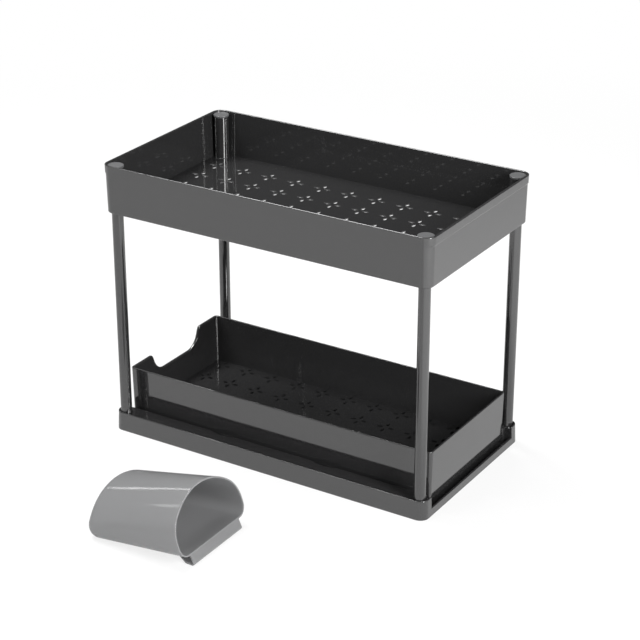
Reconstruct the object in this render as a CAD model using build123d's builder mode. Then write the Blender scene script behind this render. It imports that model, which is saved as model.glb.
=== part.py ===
from build123d import *
import os
from math import asin, atan2, cos, hypot, radians, sin, sqrt, tan

# Two-tier under sink organizer with a sliding drawer and a loose hanging cup.
# All lengths are in millimetres. The origin is the middle of the base's underside.
# +X runs along the long side, away from the drawer's finger notch, and +Z is up.

os.makedirs("parts", exist_ok=True)

# Overall sizes
tray_length = 390.0
tray_width = 215.2
overall_height = 308.2

# Top tray
tray_depth = 53.0
tray_wall = 2.0
tray_floor = 2.0
tray_corner_radius = 11.0
tray_draft = 1.0
tray_edge_bevel = 1.0
band_proud = 0.8
band_height = 10.0
band_wrap = 4.0

# Posts and the columns and sockets that hold them
post_diameter = 12.4
post_wall = 1.4
post_clearance = 0.15
column_wall = 1.9
column_roof = 3.0

# End caps on the columns
cap_overhang = 0.35
cap_thickness = 2.2
cap_drop = 1.6
cap_gap = 0.2
stem_length = 14.0
stem_clearance = 0.1
stem_rib = 2.0

# Base tray
base_end_setback = 0.4
base_side_setback = 1.8
base_height = 21.2
base_wall = 2.0
base_floor = 2.4
base_corner_radius = 10.0
base_draft = 2.0
rim_rise = 2.2
lip_height = 8.4
socket_wall = 1.25
socket_floor = 3.0
mouth_flare = 5.4
mouth_length = 6.4
pocket_count = 10
pocket_rib = 2.0
scallop_x = 64.0
scallop_length = 32.0
scallop_depth = 3.6
scallop_drop = 5.0

# Drawer runners and stops on the base floor
runner_width = 3.0
runner_rise = 0.3
stop_bar_width = 2.5
stop_bar_height = 4.6
stop_bar_inset = 12.0

# Sliding drawer
drawer_side_gap = 1.9
drawer_end_gap = 3.8
drawer_run_clearance = 0.3
drawer_height = 57.3
drawer_wall = 2.0
drawer_notch_wall = 3.3
drawer_floor = 2.0
drawer_corner_radius = 4.5
drawer_draft = 1.2
drawer_bottom_round = 4.0
notch_top_width = 90.0
notch_bottom_width = 72.0
notch_depth = 22.0
notch_top_round = 4.0
notch_bottom_round = 20.0
stop_tab_width = 12.0
stop_tab_thickness = 2.4
stop_tab_depth = 4.4
stop_gap = 0.5
drawer_travel = 240.0

# Drain petals in both floors
drain_pitch = 34.0
petal_length = 7.4
petal_width = 3.0
petal_offset = 6.5
petals_per_group = 4

# Hanging cup, lying on its back
cup_length = 116.5
cup_width = 110.8
cup_mouth_depth = 58.4
cup_taper = 6.0
cup_front_rise = 29.0
cup_front_round = 12.0
cup_round = 10.0
cup_wall = 1.6
cup_mouth_lean = 12.6
hook_width = 83.0
hook_drop = 12.0
hook_reach = 2.4
hook_leg = 24.0
hook_rise = 3.4
hook_fold_radius = 1.8
hook_cut_length = 14.0
hook_cut_width = 8.0
cup_x = -72.8
cup_y = -254.6

# One overrun serves all cuts
overrun = 1.0

# Heights and places that follow from the sizes above
tray_underside = overall_height - tray_depth
tray_floor_top = tray_underside + tray_floor
post_radius = post_diameter / 2
bore_radius = post_radius + post_clearance
column_radius = bore_radius + column_wall
cap_radius = column_radius + cap_overhang
column_top = overall_height - cap_drop - cap_thickness
bore_top = column_top - column_roof
post_x = tray_length / 2 - tray_wall - cap_radius - cap_gap
post_y = tray_width / 2 - tray_wall - cap_radius - cap_gap
tube_bore_radius = post_radius - post_wall
stem_span = 2 * sqrt((tube_bore_radius - stem_clearance) ** 2 - stem_rib**2 / 4)

base_length = tray_length - 2 * base_end_setback
base_width = tray_width - 2 * base_side_setback
ledge_top = base_height - rim_rise
ledge_lean = ledge_top * tan(radians(base_draft))
opening_half = post_y - bore_radius - socket_wall
channel_half = opening_half - mouth_flare
channel_end = base_length / 2 - base_wall - ledge_lean
block_start = post_x - bore_radius - socket_wall
runner_top = lip_height + runner_rise
stop_bar_x = channel_end - stop_bar_inset

drawer_underside = runner_top + drawer_run_clearance
drawer_rim = drawer_underside + drawer_height
drawer_length = 2 * (channel_end - drawer_end_gap)
drawer_width = 2 * (channel_half - drawer_side_gap)
drawer_lean = drawer_height * tan(radians(drawer_draft))

# Runners and stop tabs stand between the rows of drain petals
runner_spacing = 3 * drain_pitch
stop_tab_spacing = drain_pitch
bar_face = stop_bar_x - stop_bar_width
rest_tab_x = bar_face - stop_gap - stop_tab_thickness / 2
travel_tab_x = drawer_travel + stop_gap - bar_face + stop_tab_thickness / 2

# The drain pattern fills the drawer's floor, and the tray repeats it
petal_span = 2 * petal_offset + petal_length
drawer_floor_length = drawer_length - drawer_wall - drawer_notch_wall - 2 * drawer_lean
drawer_floor_width = drawer_width - 2 * (drawer_wall + drawer_lean)
drain_columns = 1 + int((drawer_floor_length - petal_span) / drain_pitch)
drain_rows = 1 + int((drawer_floor_width - petal_span) / drain_pitch)


def drain_petals():
    """Add one group of slim petals at every grid point of the open sketch."""
    tip = petal_length / 2
    side = petal_width / 2
    with GridLocations(drain_pitch, drain_pitch, drain_columns, drain_rows):
        with PolarLocations(petal_offset, petals_per_group):
            Polygon((tip, 0), (0, side), (-tip, 0), (0, -side))


def drafted_block(length, width, radius, height, draft):
    """Return a block that stands on the origin, narrower above by the draft, with one corner radius."""
    with BuildPart() as block:
        with BuildSketch():
            Rectangle(length, width)
        extrude(amount=height, taper=draft)
        fillet(block.edges().filter_by(Plane.XY, reverse=True), radius=radius)
    return block.part


def rim_down(height, shift=0):
    """Return the place that turns a standing block over, so that it hangs from a rim's height."""
    return Location((shift, 0, height), (180, 0, 0))


def write(part, name):
    """Label one finished piece and write it to its own file."""
    part.label = name
    export_step(part, f"parts/{name}.step")


# Top tray: a drafted shell with a column in each corner
with BuildPart() as top_tray:
    with Locations(rim_down(overall_height)):
        add(drafted_block(tray_length, tray_width, tray_corner_radius, tray_depth, tray_draft))
    chamfer(top_tray.faces().sort_by(Axis.Z)[0].edges(), length=tray_edge_bevel)
    # Raised band at the top of each short end
    with BuildSketch(Plane.XY.offset(overall_height)):
        RectangleRounded(tray_length + 2 * band_proud, tray_width, tray_corner_radius)
        Rectangle(tray_length - 2 * band_wrap, tray_width, mode=Mode.SUBTRACT)
    extrude(amount=-band_height)
    tray_space = drafted_block(
        tray_length - 2 * tray_wall,
        tray_width - 2 * tray_wall,
        tray_corner_radius - tray_wall,
        tray_depth - tray_floor,
        tray_draft,
    )
    with Locations(rim_down(overall_height)):
        add(tray_space, mode=Mode.SUBTRACT)
    with BuildSketch(Plane.XY.offset(tray_floor_top - overrun)):
        with GridLocations(2 * post_x, 2 * post_y, 2, 2):
            Circle(column_radius)
    extrude(amount=column_top - tray_floor_top + overrun)
    with BuildSketch(Plane.XY.offset(tray_underside - overrun)):
        with GridLocations(2 * post_x, 2 * post_y, 2, 2):
            Circle(bore_radius)
    extrude(amount=bore_top - tray_underside + overrun, mode=Mode.SUBTRACT)
    with BuildSketch(Plane.XY.offset(bore_top - overrun)):
        with GridLocations(2 * post_x, 2 * post_y, 2, 2):
            Circle(tube_bore_radius)
    extrude(amount=column_roof + 2 * overrun, mode=Mode.SUBTRACT)
    with BuildSketch(Plane.XY.offset(tray_underside - overrun)):
        drain_petals()
    extrude(amount=tray_floor + 2 * overrun, mode=Mode.SUBTRACT)
write(top_tray.part, "top_tray")

# Base tray: a low drafted block, opened for the drawer and hollow under its ledges
with BuildPart() as base_tray:
    add(drafted_block(base_length, base_width, base_corner_radius, base_height, base_draft))
    with BuildSketch(Plane.XY.offset(ledge_top)):
        RectangleRounded(
            2 * channel_end, base_width - 2 * (base_wall + ledge_lean), base_corner_radius - base_wall
        )
    extrude(amount=rim_rise + overrun, mode=Mode.SUBTRACT)
    # Channel for the drawer, wider at its two mouths
    with BuildSketch(Plane.XY.offset(base_floor)):
        Rectangle(2 * channel_end, 2 * channel_half)
        with GridLocations(2 * channel_end - mouth_length, 0, 2, 1):
            Rectangle(mouth_length, 2 * opening_half)
    extrude(amount=base_height, mode=Mode.SUBTRACT)
    with BuildSketch(Plane.XY.offset(lip_height)):
        with GridLocations(base_length, 0, 2, 1):
            Rectangle(2 * (base_length / 2 - channel_end) + overrun, 2 * opening_half)
    extrude(amount=base_height, mode=Mode.SUBTRACT)
    # Scallops in the inner edge of each ledge
    scallop_radius = (scallop_length**2 / 4 + scallop_depth**2) / (2 * scallop_depth)
    with BuildSketch(Plane.XY.offset(ledge_top - scallop_drop)):
        with GridLocations(2 * scallop_x, 2 * (channel_half + scallop_depth - scallop_radius), 2, 2):
            Circle(scallop_radius)
        Rectangle(base_length, 2 * (channel_half - overrun), mode=Mode.SUBTRACT)
    extrude(amount=scallop_drop + overrun, mode=Mode.SUBTRACT)
    # Post sockets in the corner blocks
    with BuildSketch(Plane.XY.offset(socket_floor)):
        with GridLocations(2 * post_x, 2 * post_y, 2, 2):
            Circle(bore_radius)
    extrude(amount=base_height, mode=Mode.SUBTRACT)
    # Pockets under the ledges, open below, with ribs between them
    pocket_pitch = 2 * block_start / pocket_count
    pocket_inner = channel_half + scallop_depth + base_wall
    pocket_outer = base_width / 2 - base_wall - ledge_lean
    with BuildSketch():
        with GridLocations(pocket_pitch, pocket_inner + pocket_outer, pocket_count, 2):
            Rectangle(pocket_pitch - pocket_rib, pocket_outer - pocket_inner)
    extrude(amount=ledge_top - base_wall, mode=Mode.SUBTRACT)
    # Runners and stop bars on the channel floor
    with BuildSketch(Plane.XY.offset(base_floor)):
        with GridLocations(0, runner_spacing, 1, 2):
            Rectangle(2 * stop_bar_x, runner_width)
    extrude(amount=runner_top - base_floor)
    with BuildSketch(Plane.XY.offset(base_floor)):
        with GridLocations(2 * stop_bar_x - stop_bar_width, 0, 2, 1):
            Rectangle(stop_bar_width, runner_spacing)
    extrude(amount=stop_bar_height)
write(base_tray.part, "base_tray")

# Four posts: plain tubes from the base sockets to the tops of the column bores
corners = {
    "front_left": (-post_x, -post_y), "front_right": (post_x, -post_y),
    "back_left": (-post_x, post_y), "back_right": (post_x, post_y),
}
for corner, (x, y) in corners.items():
    with BuildPart() as post:
        with BuildSketch(Plane((x, y, socket_floor))):
            Circle(post_radius)
            Circle(tube_bore_radius, mode=Mode.SUBTRACT)
        extrude(amount=bore_top - socket_floor)
    write(post.part, f"post_{corner}")

# Four end caps: a disc on the column and a stem of crossed ribs inside the post
for corner, (x, y) in corners.items():
    with BuildPart() as cap:
        with BuildSketch(Plane((x, y, column_top))):
            Circle(cap_radius)
        extrude(amount=cap_thickness)
        with BuildSketch(Plane((x, y, column_top))):
            Rectangle(stem_span, stem_rib)
            Rectangle(stem_rib, stem_span)
        extrude(amount=-stem_length)
    write(cap.part, f"end_cap_{corner}")

# Sliding drawer: a drafted shell with a rounded bottom edge and a thicker wall at the notch
with BuildPart() as drawer:
    with Locations(rim_down(drawer_rim)):
        add(drafted_block(
            drawer_length, drawer_width, drawer_corner_radius, drawer_height, drawer_draft
        ))
    fillet(drawer.faces().sort_by(Axis.Z)[0].edges(), radius=drawer_bottom_round)
    drawer_space = drafted_block(
        drawer_length - drawer_wall - drawer_notch_wall,
        drawer_width - 2 * drawer_wall,
        drawer_corner_radius - drawer_wall,
        drawer_height - drawer_floor,
        drawer_draft,
    )
    with Locations(rim_down(drawer_rim, (drawer_notch_wall - drawer_wall) / 2)):
        add(drawer_space, mode=Mode.SUBTRACT)
    # Finger notch in the left end wall
    with BuildSketch(Plane.YZ.offset(-drawer_length / 2 - overrun)):
        with BuildLine():
            edge = FilletPolyline(
                (-notch_top_width, drawer_rim),
                (-notch_top_width / 2, drawer_rim),
                (-notch_bottom_width / 2, drawer_rim - notch_depth),
                (notch_bottom_width / 2, drawer_rim - notch_depth),
                (notch_top_width / 2, drawer_rim),
                (notch_top_width, drawer_rim),
                radius=[notch_top_round, notch_bottom_round, notch_bottom_round, notch_top_round],
            )
            Polyline(
                edge @ 1,
                (notch_top_width, drawer_rim + notch_depth),
                (-notch_top_width, drawer_rim + notch_depth),
                edge @ 0,
            )
        make_face()
    extrude(amount=drawer_notch_wall + drawer_lean + 2 * overrun, mode=Mode.SUBTRACT)
    # Stop tabs underneath: one pair meets the right stop bar, the other the left one
    with BuildSketch(Plane.XY.offset(drawer_underside)):
        with Locations((rest_tab_x, 0), (travel_tab_x, 0)):
            with GridLocations(0, stop_tab_spacing, 1, 2):
                Rectangle(stop_tab_thickness, stop_tab_width)
    extrude(amount=-stop_tab_depth)
    with BuildSketch(Plane.XY.offset(drawer_underside - overrun)):
        drain_petals()
    extrude(amount=drawer_floor + 2 * overrun, mode=Mode.SUBTRACT)
write(drawer.part, "sliding_drawer")

# Hanging cup: where its hook's fold and its closed end touch the surface it lies on
back_wall_middle = cup_wall / 2
hook_root = Vector(cup_length - cup_wall, back_wall_middle)
hook_fold = Vector(cup_length + hook_reach, back_wall_middle - hook_drop)
hook_end = hook_fold + Vector(-hook_leg, hook_rise)
fold_rise = (hook_root - hook_fold).normalized()
fold_back = (hook_end - hook_fold).normalized()
fold_half_angle = radians((hook_root - hook_fold).get_angle(hook_end - hook_fold)) / 2
fold_centre = hook_fold + (fold_rise + fold_back).normalized() * (hook_fold_radius / sin(fold_half_angle))
end_round_run = cup_round * tan(radians(45 - cup_taper / 2))
fold_run = fold_centre.X - end_round_run
fold_fall = fold_centre.Y - cup_round
fold_outer_radius = hook_fold_radius + back_wall_middle
radius_step = fold_outer_radius - cup_round
cup_tilt = asin(radius_step / hypot(fold_run, fold_fall)) - atan2(fold_fall, fold_run)

# Hanging cup: it leans by the tilt, its back on the first of these lines and its front on the other
cup_lift = cup_round * (1 - cos(cup_tilt)) - end_round_run * sin(cup_tilt)
cup_axis = Vector(cos(cup_tilt), 0, sin(cup_tilt))
front_tilt = cup_tilt + radians(cup_taper)
front_axis = Vector(cos(front_tilt), 0, sin(front_tilt))
side_plane = Plane(origin=(cup_x, cup_y, cup_lift), x_dir=cup_axis, z_dir=(0, -1, 0))
mouth_rise = Vector(-tan(radians(cup_mouth_lean)), 1) * cup_mouth_depth
end_rise = Vector(-tan(radians(cup_taper)), 1) * cup_mouth_depth
brow = side_plane.from_local_coords(Vector(cup_length, cup_mouth_depth))
front_plane = Plane(origin=brow, x_dir=(0, 1, 0), z_dir=front_axis)


def cup_form(inset=0.0, reach=0.0):
    """Return the cup's body, drawn in by an inset and carried on past its mouth by a reach."""
    half_width = cup_width / 2
    with BuildPart() as form:
        # Front section: straight sides under a broad arc, run along the slope of the front
        with BuildSketch(front_plane) as section:
            with BuildLine():
                Polyline(
                    (half_width, -cup_front_rise),
                    (half_width, -2 * cup_mouth_depth),
                    (-half_width, -2 * cup_mouth_depth),
                    (-half_width, -cup_front_rise),
                )
                ThreePointArc(
                    (-half_width, -cup_front_rise), (0, 0), (half_width, -cup_front_rise)
                )
            make_face()
            fillet(section.vertices().group_by(Axis.Y)[-1], radius=cup_front_round)
            if inset:
                offset(amount=-inset, mode=Mode.REPLACE)
        extrude(amount=2 * cup_length, both=True)
        # Side profile: flat back, closed end and leaning mouth
        with BuildSketch(side_plane):
            with BuildLine():
                end_foot = Vector(inset, inset)
                mouth_foot = Vector(cup_length + reach, inset)
                Polyline(
                    end_foot,
                    mouth_foot,
                    mouth_foot + mouth_rise * 2,
                    end_foot + end_rise * 2,
                    close=True,
                )
            make_face()
        extrude(amount=cup_width, both=True, mode=Mode.INTERSECT)
        back = form.faces().sort_by(Axis(side_plane.origin, side_plane.y_dir))[0]
        back_edges = back.edges().filter_by(Axis(side_plane.origin, cup_axis))
        closed_end = form.faces().sort_by(Axis(side_plane.origin, cup_axis))[0]
        if inset:
            # The bottom of the space inside is bevelled, which keeps the wall near its thickness
            fillet(back_edges, radius=cup_round - inset)
            closed_end = form.faces().sort_by(Axis(side_plane.origin, cup_axis))[0]
            chamfer(closed_end.edges(), length=cup_round - 2 * inset)
        else:
            fillet(closed_end.edges() + back_edges, radius=cup_round)
    return form.part


with BuildPart() as cup:
    # Hook strip over the cup's back, folded down behind it, with a narrowing leg
    with BuildSketch(side_plane):
        with BuildLine():
            FilletPolyline(hook_root, hook_fold, hook_end, radius=hook_fold_radius)
        trace(line_width=cup_wall)
    extrude(amount=hook_width / 2, both=True)
    leg_tip = cup.faces().sort_by(Axis(side_plane.origin, -cup_axis))[-1]
    for cut in leg_tip.edges().sort_by(SortBy.LENGTH)[:2]:
        chamfer(cut, length=hook_cut_width, length2=hook_cut_length, reference=leg_tip)
    # Tapered body with a flat back, rounded at its closed end, hollowed by its own inset form
    add(cup_form())
    add(cup_form(cup_wall, overrun), mode=Mode.SUBTRACT)
write(cup.part, "hanging_cup")
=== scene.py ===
"""Looks of a two-tier under sink organizer with a sliding drawer and a loose hanging cup."""

import logging
import math
from collections.abc import Callable, Sequence
from dataclasses import dataclass
from enum import Enum

import bmesh
import bpy
from mathutils import Matrix, Vector
from mathutils.kdtree import KDTree

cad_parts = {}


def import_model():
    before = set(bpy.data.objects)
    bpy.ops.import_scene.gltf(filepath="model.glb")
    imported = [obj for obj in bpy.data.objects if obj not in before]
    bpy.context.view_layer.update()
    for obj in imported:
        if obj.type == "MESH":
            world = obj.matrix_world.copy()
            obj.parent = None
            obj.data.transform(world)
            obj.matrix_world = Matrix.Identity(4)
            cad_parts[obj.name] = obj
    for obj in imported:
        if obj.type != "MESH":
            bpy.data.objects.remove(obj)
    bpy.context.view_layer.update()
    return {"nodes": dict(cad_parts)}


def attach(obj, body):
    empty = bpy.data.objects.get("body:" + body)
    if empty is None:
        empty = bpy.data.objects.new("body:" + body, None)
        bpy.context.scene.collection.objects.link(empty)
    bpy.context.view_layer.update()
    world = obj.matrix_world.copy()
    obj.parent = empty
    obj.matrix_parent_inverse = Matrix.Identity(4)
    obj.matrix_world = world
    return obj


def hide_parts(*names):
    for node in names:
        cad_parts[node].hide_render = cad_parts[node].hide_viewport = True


LOG = logging.getLogger("organizer")

# Pieces are made in millimetres and finished in metres; the studio is in metres throughout
METRES = 0.001
# Points of one mesh that lie closer than this become one point
WELD = 0.002
# Faces that turn more than this keep a sharp edge between them
SHARP_TURN = math.radians(32)
# Edges of a part's copy that turn more than this are rounded
ROUNDED_TURN = math.radians(30)
# The bevel setting for a circular round
CIRCULAR = 0.5
QUARTER = math.pi / 2
WHITE = (1.0, 1.0, 1.0, 1.0)


class Slot(Enum):
    """The material slots of the parts record."""

    DARK = "dark_plastic"
    POST = "post_plastic"
    CAP = "cap_plastic"
    CUP = "cup_plastic"

    def finish_name(self) -> str:
        """Return the name of the finish for this slot."""
        return f"{self.value}_finish"


class Body(Enum):
    """The bodies that pieces ride on."""

    FRAME = "frame"
    DRAWER = "drawer"
    CUP = "cup"


class Ray(Enum):
    """The kinds of ray that the floor and the sky tell apart."""

    CAMERA = "Is Camera Ray"
    MIRRORED = "Is Glossy Ray"
    THROUGH = "Is Transmission Ray"


# Node helpers


# Sockets of the node that mixes colours, by number, because names repeat among them
MIX_SHARE, MIX_FIRST, MIX_SECOND, MIX_RESULT = 0, 6, 7, 2


class Value:
    """A node output with arithmetic, each operation adding one maths node."""

    def __init__(self, nodes: "NodeBench", node: bpy.types.Node, output: str | int) -> None:
        """Keep a node's output.

        Args:
            nodes: The bench that adds nodes to the same tree.
            node: The node.
            output: Name or number of its output.
        """
        self.nodes = nodes
        self.node = node
        self.output = output

    def _maths(self, operation: str, first: "Value | float", second: "Value | float") -> "Value":
        """Add one maths node for two operands and return its value."""
        return self.nodes.add("ShaderNodeMath", {"operation": operation}, {0: first, 1: second})

    def __add__(self, other: "Value | float") -> "Value":
        """Return the sum."""
        return self._maths("ADD", self, other)

    def __radd__(self, other: float) -> "Value":
        """Return the sum with the number first."""
        return self._maths("ADD", other, self)

    def __sub__(self, other: "Value | float") -> "Value":
        """Return the difference."""
        return self._maths("SUBTRACT", self, other)

    def __rsub__(self, other: float) -> "Value":
        """Return the difference from a number."""
        return self._maths("SUBTRACT", other, self)

    def __mul__(self, other: "Value | float") -> "Value":
        """Return the product."""
        return self._maths("MULTIPLY", self, other)

    def __rmul__(self, other: float) -> "Value":
        """Return the product with the number first."""
        return self._maths("MULTIPLY", other, self)

    def largest(self, other: "Value | float") -> "Value":
        """Return the larger of the two values."""
        return self._maths("MAXIMUM", self, other)


class NodeBench:
    """Adds nodes to one node tree: settings first, then socket values or links."""

    def __init__(self, tree: bpy.types.NodeTree) -> None:
        """Keep the tree that receives the nodes."""
        self.tree = tree

    def add(
        self,
        kind: str,
        settings: dict[str, object] | None = None,
        inputs: dict[str | int, object] | None = None,
        output: str | int = 0,
    ) -> Value:
        """Add one node.

        Args:
            kind: Type name of the node.
            settings: Properties, set before the sockets.
            inputs: Socket values or values to link, by name or number.
            output: The output to hand back; the last node of a tree has none to use.

        Returns:
            The chosen output as a value.
        """
        node = self.tree.nodes.new(kind)
        for name, setting in (settings or {}).items():
            setattr(node, name, setting)
        for key, given in (inputs or {}).items():
            for one in given if isinstance(given, list) else [given]:
                if isinstance(one, Value):
                    self.tree.links.new(one.node.outputs[one.output], node.inputs[key])
                else:
                    node.inputs[key].default_value = one
        return Value(self, node, output)

    def noise(self, place: Value, scale: float) -> Value:
        """Add a noise texture of one scale and return its grey value."""
        return self.add("ShaderNodeTexNoise", inputs={"Vector": place, "Scale": scale})

    def blend(self, share: Value, first: Sequence[float], second: Sequence[float]) -> Value:
        """Add a mix of two colours.

        Args:
            share: Share of the second colour.
            first: Red, green and blue of the first colour.
            second: Red, green and blue of the second colour.

        Returns:
            The mixed colour.
        """
        return self.add(
            "ShaderNodeMix",
            {"data_type": "RGBA"},
            {MIX_SHARE: share, MIX_FIRST: (*first, 1.0), MIX_SECOND: (*second, 1.0)},
            output=MIX_RESULT,
        )

    def ease(self, value: Value, start: float, end: float) -> Value:
        """Add a smooth rise from 0 to 1.

        Args:
            value: What the rise follows.
            start: The value where it starts.
            end: The value where it ends.

        Returns:
            The eased value.
        """
        return self.add(
            "ShaderNodeMapRange",
            {"interpolation_type": "SMOOTHSTEP"},
            {"Value": value, "From Min": start, "From Max": end},
        )

    def ray(self, kind: Ray) -> Value:
        """Return 1 on rays of one kind and 0 on all others."""
        return self.add("ShaderNodeLightPath", output=kind.value)

    def background_rays(self) -> Value:
        """Return 1 on the rays that see the plain white background."""
        return self.ray(Ray.CAMERA).largest(self.ray(Ray.THROUGH))


def empty_bench(owner: bpy.types.Material | bpy.types.World) -> NodeBench:
    """Empty the node tree of a material or a world.

    Args:
        owner: The material or the world.

    Returns:
        The bench that adds nodes to it.
    """
    owner.use_nodes = True
    owner.node_tree.nodes.clear()
    return NodeBench(owner.node_tree)


# Finishes


@dataclass(frozen=True)
class Plastic:
    """A moulded plastic with faint clouds of colour, slow ripples and a fine grain."""

    slot: Slot
    colour: tuple[float, float, float]
    colour_spread: float
    roughness: float
    roughness_spread: float
    gloss_index: float
    see_through: float = 0.0
    cloud_scale: float = 7.0
    ripple_scale: float = 26.0
    ripple_depth: float = 0.00004
    grain_scale: float = 1400.0
    grain_depth: float = 0.0000015

    def material(self) -> bpy.types.Material:
        """Make the material.

        Returns:
            The finished material.
        """
        material = bpy.data.materials.new(self.slot.finish_name())
        nodes = empty_bench(material)
        place = nodes.add("ShaderNodeTexCoord", output="Object")
        cloud = nodes.noise(place, self.cloud_scale)
        ripple = nodes.noise(place, self.ripple_scale)
        grain = nodes.noise(place, self.grain_scale)
        darker = [part * (1 - self.colour_spread) for part in self.colour]
        lighter = [part * (1 + self.colour_spread) for part in self.colour]
        smoothest = self.roughness - self.roughness_spread
        height = ripple * self.ripple_depth + grain * self.grain_depth
        bump = nodes.add("ShaderNodeBump", inputs={"Height": height, "Strength": 1.0, "Distance": 1.0})
        surface = nodes.add(
            "ShaderNodeBsdfPrincipled",
            inputs={
                "Base Color": nodes.blend(cloud, darker, lighter),
                "Roughness": ripple * (2 * self.roughness_spread) + smoothest,
                "IOR": self.gloss_index,
                "Normal": bump,
            },
        )
        if self.see_through:
            glow = nodes.add(
                "ShaderNodeBsdfTranslucent", inputs={"Color": (*self.colour, 1.0), "Normal": bump}
            )
            surface = nodes.add(
                "ShaderNodeMixShader", inputs={0: self.see_through, 1: surface, 2: glow}
            )
        nodes.add("ShaderNodeOutputMaterial", inputs={"Surface": surface})
        return material


@dataclass(frozen=True)
class FloorFinish:
    """A white floor with a soft shadow; mirrors see it glow, and mostly its lit face on the right."""

    colour: tuple[float, float, float] = (0.9, 0.9, 0.9)
    colour_scale: float = 3.0
    colour_spread: float = 0.01
    roughness: float = 0.8
    near_glow: float = 0.78
    far_from: float = 0.5
    far_to: float = 1.5
    lit_from: float = 0.2
    lit_to: float = 0.4
    lit_share: float = 0.75

    def material(self) -> bpy.types.Material:
        """Make the material.

        Returns:
            The finished material.
        """
        material = bpy.data.materials.new("studio_floor")
        nodes = empty_bench(material)
        place = nodes.add("ShaderNodeTexCoord", output="Object")
        cloud = nodes.noise(place, self.colour_scale)
        darker = [part * (1 - self.colour_spread) for part in self.colour]
        lit = nodes.add(
            "ShaderNodeBsdfPrincipled",
            inputs={
                "Base Color": nodes.blend(cloud, darker, self.colour),
                "Roughness": self.roughness,
                "Specular IOR Level": 0.0,
            },
        )
        glow = nodes.add("ShaderNodeEmission", inputs={"Color": WHITE, "Strength": 1.0})
        reach = nodes.add("ShaderNodeVectorMath", {"operation": "LENGTH"}, {0: place}, output="Value")
        far = nodes.ease(reach, self.far_from, self.far_to)
        seen = nodes.background_rays() * (far * (1.0 - self.near_glow) + self.near_glow)
        along = nodes.add("ShaderNodeSeparateXYZ", inputs={0: place}, output="X")
        on_right = nodes.ease(along, self.lit_from, self.lit_to)
        mirrored = nodes.ray(Ray.MIRRORED) * (1.0 - on_right * self.lit_share)
        floor = nodes.add("ShaderNodeMixShader", inputs={0: seen.largest(mirrored), 1: lit, 2: glow})
        nodes.add("ShaderNodeOutputMaterial", inputs={"Surface": floor})
        return material


# Mesh making


def clamp(value: float) -> float:
    """Return a number held between 0 and 1."""
    return min(1.0, max(0.0, value))


def bend(corners: Sequence[Vector], radii: Sequence[float], steps: int) -> list[Vector]:
    """Round the inner corners of an open flat path.

    Args:
        corners: The path's points, ends included.
        radii: One radius for each inner corner; zero leaves it sharp.
        steps: Steps of each round.

    Returns:
        The points of the rounded path.
    """
    path = [corners[0].copy()]
    for before, corner, after, radius in zip(corners, corners[1:], corners[2:], radii, strict=False):
        if not radius:
            path.append(corner.copy())
            continue
        back, on = (before - corner).normalized(), (after - corner).normalized()
        half = back.angle(on) / 2
        centre = corner + (back + on).normalized() * (radius / math.sin(half))
        first = corner + back * (radius / math.tan(half)) - centre
        last = corner + on * (radius / math.tan(half)) - centre
        sweep = math.pi - 2 * half
        for step in range(steps + 1):
            part = step / steps
            turned = first * math.sin((1 - part) * sweep) + last * math.sin(part * sweep)
            path.append(centre + turned / math.sin(sweep))
    path.append(corners[-1].copy())
    return path


def quarter_turn(radius: float, steps: int) -> list[tuple[float, float]]:
    """Return the places on a quarter round between two faces.

    Args:
        radius: Radius of the round.
        steps: Steps of the round.

    Returns:
        The distances from the first face and from the second, beginning on the first.
    """
    angles = [step / steps * QUARTER for step in range(steps + 1)]
    return [(radius * (1 - math.cos(angle)), radius * (1 - math.sin(angle))) for angle in angles]


def loft(
    mesh: bmesh.types.BMesh,
    rings: Sequence[Sequence[Vector]],
    wrap: bool = False,
    lid_first: bool = False,
    lid_last: bool = False,
) -> None:
    """Join closed rings of equal count with faces.

    Args:
        mesh: The mesh that receives the faces.
        rings: The rings, in order.
        wrap: Join the last ring to the first.
        lid_first: Close the first ring with one face.
        lid_last: Close the last ring with one face.
    """
    rows = [[mesh.verts.new(point) for point in ring] for ring in rings]
    pairs = list(zip(rows, rows[1:], strict=False))
    if wrap:
        pairs.append((rows[-1], rows[0]))
    for low, high in pairs:
        for at in range(len(low)):
            after = (at + 1) % len(low)
            mesh.faces.new((low[at], low[after], high[after], high[at]))
    if lid_first:
        mesh.faces.new(list(reversed(rows[0])))
    if lid_last:
        mesh.faces.new(rows[-1])


def plan_ring(
    low: Vector, high: Vector, radius: float, steps: int, left: Sequence[float] = ()
) -> list[tuple[Vector, float]]:
    """Return the points of a rectangle with round corners, seen from above.

    Args:
        low: Lowest corner.
        high: Highest corner.
        radius: Corner radius.
        steps: Steps of each corner.
        left: Places along the left side, from back to front, that get a point of their own.

    Returns:
        Each point with the direction that it faces, as an angle from +X.
    """
    centres = (
        Vector((high.x - radius, low.y + radius)),
        Vector((high.x - radius, high.y - radius)),
        Vector((low.x + radius, high.y - radius)),
        Vector((low.x + radius, low.y + radius)),
    )
    ring: list[tuple[Vector, float]] = []
    for quarter, centre in enumerate(centres):
        if quarter == len(centres) - 1:
            ring += [(Vector((low.x, place)), math.pi) for place in left]
        for step in range(steps + 1):
            angle = (quarter - 1 + step / steps) * QUARTER
            ring.append((centre + Vector((math.cos(angle), math.sin(angle))) * radius, angle))
    return ring


def circle_ring(centre: Vector, radius: float, height: float, steps: int) -> list[Vector]:
    """Return a level circle's points.

    Args:
        centre: Its place from above.
        radius: Its radius.
        height: Its height.
        steps: Number of points.

    Returns:
        The points.
    """
    turns = [math.tau * step / steps for step in range(steps)]
    return [
        Vector((centre.x + radius * math.cos(turn), centre.y + radius * math.sin(turn), height))
        for turn in turns
    ]


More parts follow.
